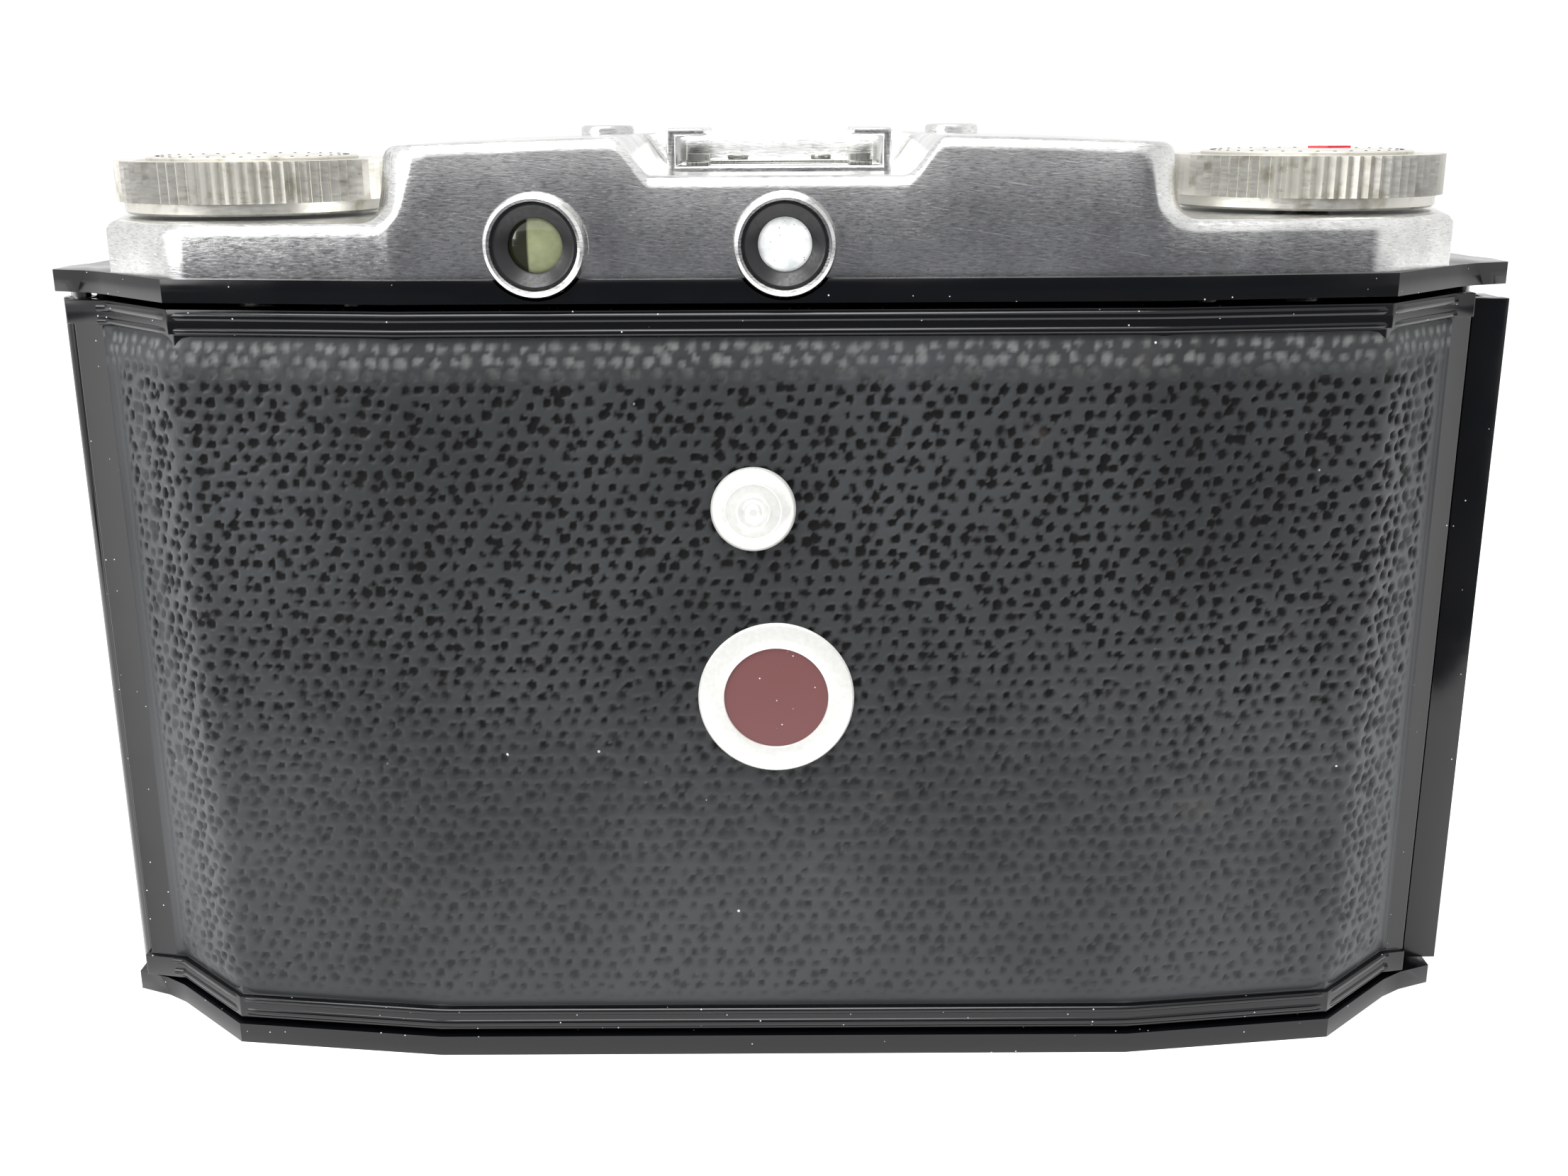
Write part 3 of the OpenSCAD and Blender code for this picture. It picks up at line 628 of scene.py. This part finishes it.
def across(plan, x):
    """Lowest and highest y of the convex outline at x."""
    found = []
    for (x0, y0), (x1, y1) in zip(plan, plan[1:] + plan[:1]):
        if min(x0, x1) <= x <= max(x0, x1) and x0 != x1:
            found.append(y0 + (y1 - y0) * (x - x0) / (x1 - x0))
    return min(found), max(found)


def edge_distance(plan, x, y):
    """How far a point lies from the outline."""
    best = 1e9
    for (x0, y0), (x1, y1) in zip(plan, plan[1:] + plan[:1]):
        dx, dy = x1 - x0, y1 - y0
        t = max(0.0, min(1.0, ((x - x0) * dx + (y - y0) * dy) / (dx * dx + dy * dy + 1e-12)))
        best = min(best, math.hypot(x - x0 - t * dx, y - y0 - t * dy))
    return best


def soft_step(value):
    value = max(0.0, min(1.0, value))
    return value * value * (3 - 2 * value)


def cover_height(plan, x, y):
    """Height of the pressed cover: shoulders, domed hump with a filleted foot, saddle for the shoe."""
    mid = (COVER_BACK + COVER_FRONT + 0.8) / 2
    half_y = (COVER_BACK - COVER_FRONT - 0.8) / 2 + 0.15
    qx, qy = abs(x) - HUMP_X + HUMP_CORNER, abs(y - mid) - half_y + HUMP_CORNER
    outside = math.hypot(max(qx, 0), max(qy, 0)) + min(max(qx, qy), 0) - HUMP_CORNER
    top = HUMP_Z + 0.85 * (1 - (x / HUMP_X) ** 2)
    saddle = (1 - soft_step((abs(x) - 10.7) / 3.4)) * soft_step((y + 10.6) / 1.2)
    top -= (top - 82.45) * max(0.0, saddle)
    rise = top - SHOULDER_Z
    foot, lip = 2.2, 1.15
    if outside > foot + 0.2:
        lift = 0.0
    elif outside > 0.2:
        lift = foot - math.sqrt(max(0.0, foot ** 2 - (foot + 0.2 - outside) ** 2))
    elif outside > -0.1:
        lift = foot + (rise - lip - foot) * (0.2 - outside) / 0.3
    elif outside > -0.1 - lip:
        lift = rise - lip + math.sqrt(max(0.0, lip ** 2 - (0.1 + lip + outside) ** 2))
    else:
        lift = rise
    edge = edge_distance(plan, x, y)
    round_off = EDGE_R - math.sqrt(max(0.0, EDGE_R ** 2 - max(0.0, EDGE_R - edge) ** 2))
    on_shoulder = soft_step((outside + 1.0) / 2.6)
    return SHOULDER_Z - round_off * on_shoulder + lift


def spaced(low, high, fine_spots, coarse=1.3, fine=0.24, reach=2.4):
    """Positions from low to high, close together near the fine spots."""
    made, at = [low], low
    while at < high:
        near = min(abs(at - spot) for spot in fine_spots)
        at += fine + (coarse - fine) * soft_step((near - reach) / 2)
        made.append(min(at, high))
    return made


def make_cover():
    """The chrome top cover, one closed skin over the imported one."""
    plan = cover_plan()
    end = max(x for x, _ in plan) - 0.02
    columns = spaced(-end, end, [-end, -60, -34.6, -12.5, 12.5, 34.6, 60, end])
    rows = spaced(0, 33.4, [0, 3.4, 33.4], coarse=1.1, fine=0.2, reach=1.6)
    shares = [r / rows[-1] for r in rows]
    verts, faces, n = [], [], len(shares)
    for x in columns:
        low, high = across(plan, x)
        for share in shares:
            y = low + (high - low) * share
            verts.append((x, y, cover_height(plan, x, y)))
    top_count = len(verts)
    verts += [(x, y, 74.0) for x, y, _ in verts]
    for i in range(len(columns) - 1):
        for j in range(n - 1):
            a, b = i * n + j, (i + 1) * n + j
            faces.append((a, b, b + 1, a + 1))
            faces.append((a + top_count, a + 1 + top_count, b + 1 + top_count, b + top_count))
    rim = [i * n for i in range(len(columns))] + [len(columns) * n - n + j for j in range(1, n)]
    rim += [i * n + n - 1 for i in range(len(columns) - 2, -1, -1)] + [j for j in range(n - 2, 0, -1)]
    for a, b in zip(rim, rim[1:] + rim[:1]):
        faces.append((a, a + top_count, b + top_count, b))
    mesh = smooth(outward(mesh_of("top_cover_pressed", verts, faces)), 30)
    piece_from("top_cover_pressed", mesh, BODY_OF["top_cover"], "chrome", "top_cover")


# ---------------------------------------------------------------- knurls and graduations
def bar_ring_tree():
    """Geometry Nodes: four-sided bars, set edge outwards on a circle, counted and sized by the inputs."""
    tree = bpy.data.node_groups.new("bar_ring", "GeometryNodeTree")
    tree.interface.new_socket("Geometry", in_out="OUTPUT", socket_type="NodeSocketGeometry")
    for name, kind in (("Count", "NodeSocketInt"), ("Radius", "NodeSocketFloat"), ("Bar", "NodeSocketFloat"),
                       ("Height", "NodeSocketFloat"), ("Paint", "NodeSocketMaterial")):
        tree.interface.new_socket(name, in_out="INPUT", socket_type=kind)
    given = tree.nodes.new("NodeGroupInput").outputs
    circle = node(tree, "GeometryNodeMeshCircle", {"Vertices": given["Count"], "Radius": given["Radius"]})
    bar = node(tree, "GeometryNodeMeshCylinder", {"Vertices": 4, "Radius": given["Bar"],
        "Depth": given["Height"]})
    where = node(tree, "GeometryNodeInputPosition")
    facing = node(tree, "FunctionNodeAlignEulerToVector", {"Vector": where.outputs[0]}, axis="X",
        pivot_axis="Z")
    spread = node(tree, "GeometryNodeInstanceOnPoints", {"Points": circle.outputs[0],
        "Instance": bar.outputs[0], "Rotation": facing.outputs[0]})
    real = node(tree, "GeometryNodeRealizeInstances", {0: spread.outputs[0]})
    painted = node(tree, "GeometryNodeSetMaterial", {0: real.outputs[0], "Material": given["Paint"]})
    out = tree.nodes.new("NodeGroupOutput")
    tree.links.new(painted.outputs[0], out.inputs[0])
    return tree


def bar_ring(name, count, radius, bar, height, centre, axis, body, slot_name):
    """A ring of bars as a finished piece: knurl teeth, or graduations when they are thin."""
    holder = bpy.data.objects.new("holder", bpy.data.meshes.new("holder"))
    bpy.context.collection.objects.link(holder)
    work = holder.modifiers.new("bars", "NODES")
    work.node_group = BAR_RING
    ids = {item.name: item.identifier for item in BAR_RING.interface.items_tree if item.in_out == "INPUT"}
    work[ids["Count"]] = count
    work[ids["Radius"]] = radius * MM
    work[ids["Bar"]] = bar * MM
    work[ids["Height"]] = height * MM
    work[ids["Paint"]] = PAINT[slot_name]
    mesh = baked(holder)
    turned = Vector(axis).to_track_quat("Z", "Y").to_matrix().to_4x4()
    mesh.transform(Matrix.Translation(Vector(centre) * MM) @ turned)
    return piece_from(name, mesh, body, slot_name)


WHEEL_Z, COLLAR, KNURL, WHEEL_R = 78.9, 1.1, 3.6, 12.4


def make_wheel(tag, x, cad_wheel, cad_disc):
    """A turned wheel: smooth collar, V knurl, dished top with a raised disc and fine graduations."""
    body = BODY_OF[cad_wheel]
    top = WHEEL_Z + COLLAR + KNURL
    core = [(3.2, WHEEL_Z), (11.55, WHEEL_Z), (11.8, WHEEL_Z + 0.2), (11.8, WHEEL_Z + COLLAR),
            (11.96, WHEEL_Z + COLLAR), (11.96, top - 0.02), (11.5, top + 0.02), (10.6, top),
            (10.3, top - 0.25), (9.9, top - 0.25), (9.7, top - 0.2), (3.2, top - 0.2)]
    lathe(tag + "_wheel_turned", core, (x, SPOOL_Y, 0), UP, body, "aluminium", cad_wheel)
    bar_ring(tag + "_wheel_knurl", 76, 11.93, 0.49, KNURL, (x, SPOOL_Y, top - KNURL / 2), UP, body,
        "aluminium")
    disc = [(0, top - 0.2), (9.55, top - 0.2), (9.6, top + 0.2), (9.4, top + 0.34), (4.4, top + 0.34),
            (4.2, top + 0.2), (3.6, top + 0.2), (3.4, top + 0.35), (0, top + 0.35)]
    lathe(tag + "_disc_turned", disc[::-1], (x, SPOOL_Y, 0), UP, body, "aluminium", cad_disc)
    bar_ring(tag + "_disc_graduations", 36, 8.6, 0.16, 0.1, (x, SPOOL_Y, top + 0.34), UP, body,
        "moulded_black")


def make_arrow():
    """The red arrow on the advance wheel that shows which way it turns."""
    top = WHEEL_Z + COLLAR + KNURL
    shape = [(-2.0, -0.55), (0.4, -0.55), (0.4, -1.2), (2.0, 0), (0.4, 1.2), (0.4, 0.55), (-2.0, 0.55)]
    place = Vector((-53.6, -5.2))
    verts = [(place.x + x, place.y + y, z) for z in (top + 0.3, top + 0.55) for x, y in shape]
    n = len(shape)
    faces = [tuple(range(n))[::-1], tuple(range(n, 2 * n))]
    faces += [(i, (i + 1) % n, n + (i + 1) % n, n + i) for i in range(n)]
    mesh = outward(mesh_of("advance_arrow", verts, faces))
    arrow = piece_from("advance_arrow", mesh, "advance", "red_glass")
    paint, tree, shader, place = begin("red_lacquer", "#b3202c", 0.0, 0.35)
    tree.links.new(mixed(tree, noise(tree, place, 0.6), linear("#a01824"), linear("#c82c38")),
        shader.inputs["Base Color"])
    arrow.data.materials[0] = paint


# ---------------------------------------------------------------- eyepieces, windows and knob
EYE_Z, EYE_Y, FINDER_X, RANGER_X = 76.8, 19.2, -0.5, 20.6


def finder_glow():
    """Viewfinder glass: painted light, its pale colour standing in for the bright room beyond it, with dust
    on the inside.
    """
    paint, tree, shader, place = begin("bright_finder_glass", "#dfe2e1", 0.0, 0.2)
    cloud = ramp(tree, noise(tree, place, 1.4), 0.35, 0.7)
    # painted light: the bright room seen through the glass
    tone = mixed(tree, cloud, linear("#c4c8c8"), linear("#f2f4f3"))
    dust = specks(tree, place, 0.42, 0.3, 0.2)
    tree.links.new(mixed(tree, dust, tone, linear("#8d9192")), shader.inputs["Base Color"])
    shader.inputs["Coat Weight"].default_value = 0.6
    return paint


def ranger_glow():
    """Rangefinder glass: painted light and shade, a gold-green patch standing in for the view through it,
    squared off at its left, in a painted dark surround.
    """
    paint, tree, shader, place = begin("rangefinder_glass", "#7f8560", 0.0, 0.15)
    along = node(tree, "ShaderNodeSeparateXYZ", {0: place}).outputs[0]
    patch = ramp(tree, along, (RANGER_X + 0.55) * MM, (RANGER_X + 0.75) * MM, 1.0, 0.0)
    tone = mixed(tree, noise(tree, place, 1.1), linear("#636849"), linear("#8a8f70"))
    # painted light and shade: the gold-green view through the glass in a painted dark surround
    tree.links.new(mixed(tree, patch, linear("#1e2012"), tone), shader.inputs["Base Color"])
    shader.inputs["Coat Weight"].default_value = 0.8
    return paint


def make_eyepieces():
    ring = [(3.62, -2.9), (3.9, -2.9), (3.9, 0.0), (4.28, -0.05), (4.45, 0.15), (4.4, 1.2), (4.22, 1.7),
            (3.95, 1.88), (3.72, 1.8), (3.62, 1.5)]
    bezel = [(2.3, -2.9), (3.6, -2.9), (3.6, 1.35), (3.4, 1.42), (3.2, 1.3), (2.45, 0.55), (2.3, 0.5)]
    glass = [(0, 0.55), (0.9, 0.5), (1.7, 0.34), (2.3, 0.1), (2.3, -0.8), (0, -0.8)]
    for tag, x, cad_glass, slot_name in (("viewfinder", FINDER_X, "viewfinder_eyepiece", "glass"),
                                         ("rangefinder", RANGER_X, "rangefinder_eyepiece", "tinted_glass")):
        at = (x, EYE_Y, EYE_Z)
        lathe(tag + "_ring_turned", ring, at, BACKWARD, "camera_body", "chrome", tag + "_ring")
        lathe(tag + "_bezel_turned", bezel, at, BACKWARD, "camera_body", "black_anodised", "eyepiece_bezels")
        lens = lathe(tag + "_lens", glass, at, BACKWARD, "camera_body", slot_name, cad_glass)
        lens.data.materials[0] = finder_glow() if tag == "viewfinder" else ranger_glow()


def make_red_window():
    skin = 20.4
    at = (0.5, skin, 36.6)
    ring = [(4.7, -1.9), (5.28, -1.9), (5.28, -0.02), (7.0, -0.02), (7.05, 0.3), (6.9, 0.5), (6.6, 0.56),
            (5.0, 0.56), (4.75, 0.5), (4.7, 0.4)]
    bright = [lathe("red_window_ring_turned", ring, at, BACKWARD, "back", "aluminium", "red_window_ring")]
    glass = [(0, 0.32), (4.69, 0.3), (4.69, -1.3), (0, -1.3)]
    lathe("red_window_pane", glass, at, BACKWARD, "back", "red_glass", "red_window_glass")
    knob = [(0, 1.62), (0.35, 1.6), (0.55, 1.42), (0.8, 1.36), (1.05, 1.5), (1.35, 1.5), (1.5, 1.3),
            (1.8, 1.22), (2.4, 1.16), (2.5, 1.24), (2.7, 1.2), (3.2, 1.02), (3.55, 0.78), (3.75, 0.4),
            (3.75, 0.12), (1.19, 0.12), (1.19, -2.7), (0, -2.7)]
    bright.append(lathe("window_knob_turned", knob, (2.4, skin, 54.1), BACKWARD, "blind", "aluminium",
        "window_knob"))
    for piece in bright:
        piece.data.materials[0] = PAINT["white_aluminium"]


def rounded_loop(x, z, half_w, half_h, r, y, steps=5):
    """Points of a rounded rectangle standing at y."""
    found = []
    for sx, sz, start in ((1, 1, 0), (-1, 1, 90), (-1, -1, 180), (1, -1, 270)):
        for k in range(steps + 1):
            a = math.radians(start + 90 * k / steps)
            found.append((x + sx * (half_w - r) + r * math.cos(a), y,
                z + sz * (half_h - r) + r * math.sin(a)))
    return found


def ring_between(loops):
    """Faces that join closed loops of equal length one after another, the last to the first."""
    n, faces = len(loops[0]), []
    for k in range(len(loops)):
        after = (k + 1) % len(loops)
        faces += [(k * n + i, k * n + (i + 1) % n, after * n + (i + 1) % n, after * n + i) for i in range(n)]
    return [p for loop in loops for p in loop], faces


def make_front_windows():
    """Each window: a chrome frame with a bevelled lip, and a slightly sunk pane."""
    windows = (("viewfinder", FINDER_X, 8.0, 79.4, 4.0), ("ranging", RANGER_X, 3.0, 77.1, 2.4),
               ("mirror", -22.0, 3.0, 77.1, 2.4))
    front = COVER_FRONT
    for tag, x, w, z, h in windows:
        loops = [rounded_loop(x, z, w + 0.7, h + 0.55, 1.0, front + 0.3),
                 rounded_loop(x, z, w + 0.7, h + 0.55, 1.0, front - 0.4),
                 rounded_loop(x, z, w + 0.45, h + 0.3, 0.9, front - 0.65),
                 rounded_loop(x, z, w, h, 0.6, front - 0.45),
                 rounded_loop(x, z, w, h, 0.6, front + 0.3)]
        mesh = smooth(outward(mesh_of(tag, *ring_between(loops))), 30)
        piece_from(tag + "_window_frame", mesh, "camera_body", "chrome")
        pane = rounded_loop(x, z, w, h, 0.6, front - 0.3) + rounded_loop(x, z, w, h, 0.6, front + 0.3)
        n = len(pane) // 2
        faces = [tuple(range(n)), tuple(range(n, 2 * n))[::-1]]
        faces += [(i, (i + 1) % n, n + (i + 1) % n, n + i) for i in range(n)]
        piece_from(tag + "_window_pane", outward(mesh_of(tag + "_pane", pane, faces)), "camera_body",
            "glass", "front_windows")


# ---------------------------------------------------------------- bellows and lens
BELLOWS_CORNERS = ((1, 1, (0, 1)), (-1, 1, (1, 0)), (-1, -1, (0, 1)), (1, -1, (1, 0)))


def make_bellows():
    """Pleated bellows, built stacked flat as when shut, as one fixed mesh; on the camera its folds spread
    evenly when the standard runs out.
    """
    rear, front, travel, folds = 10.2, 2.45, 46.0, 22
    depth = rear - front

    def opened(t):
        return t * depth + t * t * (3 - 2 * t) * travel

    def share(target):
        low, high = 0.0, 1.0
        for _ in range(40):
            mid = (low + high) / 2
            low, high = (mid, high) if opened(mid) < target else (low, mid)
        return (low + high) / 2

    outer, inner = [], []
    for k in range(folds + 1):
        t = share((depth + travel) * k / folds)
        half = 31.0 + (20.8 - 31.0) * k / folds - (2.8 if k % 2 else 0)
        y = rear - depth * t
        outer.append((half, y))
        inner.append((half - 0.35, y))
    loops = []
    for half, y in outer + inner[::-1]:
        c = 2.2  # the folds' corners are cut off by this much
        loops.append([(sx * half - (sx * c if cut else 0), y, LENS_Z + sz * half - (0 if cut else sz * c))
                      for sx, sz, order in BELLOWS_CORNERS for cut in order])
    mesh = outward(mesh_of("bellows_pleated", *ring_between(loops)))
    piece = bpy.data.objects.new("bellows_pleated", mesh)
    bpy.context.collection.objects.link(piece)
    mesh.materials.append(PAINT["bellows_cloth"])
    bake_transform(piece)
    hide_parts("bellows")


def make_lens():
    """Turned front cell with a domed, coated glass, and ribs and graduations on the rings."""
    at = (0, 0, LENS_Z)
    ring = [(9.4, 7.9), (13.0, 7.9), (13.0, 13.4), (12.6, 14.0), (12.1, 14.1), (11.7, 13.7), (10.4, 13.2),
            (9.8, 12.6), (9.4, 12.4)]
    lathe("focus_ring_turned", ring, at, FORWARD, "focus", "black_anodised", "focus_ring")
    bar_ring("focus_ring_ribs", 72, 12.9, 0.2, 3.2, (0, -11.2, LENS_Z), FORWARD, "focus", "black_anodised")
    glass = [(0, 12.9), (2.5, 12.8), (5, 12.5), (7.5, 12.0), (9.38, 11.4), (9.38, 10.8), (0, 10.8)]
    lathe("front_glass_domed", glass, at, FORWARD, "focus", "glass", "front_glass")
    bar_ring("speed_ring_graduations", 40, 16.6, 0.14, 0.12, (0, -9.2, LENS_Z), FORWARD, "speed", "chrome")
    bar_ring("focus_ring_graduations", 24, 11.2, 0.12, 0.5, (0, -13.6, LENS_Z), FORWARD, "focus", "chrome")


# ---------------------------------------------------------------- the whole camera
make_camera()
make_stage()
PAINT = make_materials()
BAR_RING = bar_ring_tree()
for cad_node, shown in frame["nodes"].items():
    for material_slot in shown.material_slots:
        material_slot.material = PAINT[SLOT_OF[cad_node]]
EASED = {
    "body_casting": 0.5, "back_door": 0.45, "latch_strip": 0.55, "accessory_shoe": 0.22, "front_door": 0.5,
    "lens_standard": 0.25, "shutter_housing": 0.35, "speed_ring": 0.2, "release_button": 0.35,
    "door_button": 0.35, "pressure_plate": 0.3, "tripod_bush": 0.3, "shoe_rivets": 0.12,
    "cover_screws": 0.2, "take_up_spool": 0.25, "supply_spool": 0.25, "cocking_lever": 0.15,
    "aperture_lever": 0.15, "window_blind": 0.12, "shoe_spring": 0.08,
}
for cad_node, width in EASED.items():
    eased(cad_node, width)
make_springs()
make_leather()
make_rims()
make_cover()
make_wheel("advance", -SPOOL_X, "advance_wheel", "advance_disc")
make_wheel("reminder", SPOOL_X, "reminder_wheel", "reminder_disc")
make_arrow()
make_eyepieces()
make_red_window()
make_front_windows()
make_bellows()
make_lens()


def corners(box):
    return [[round(c, 5) for c in corner] for corner in box]
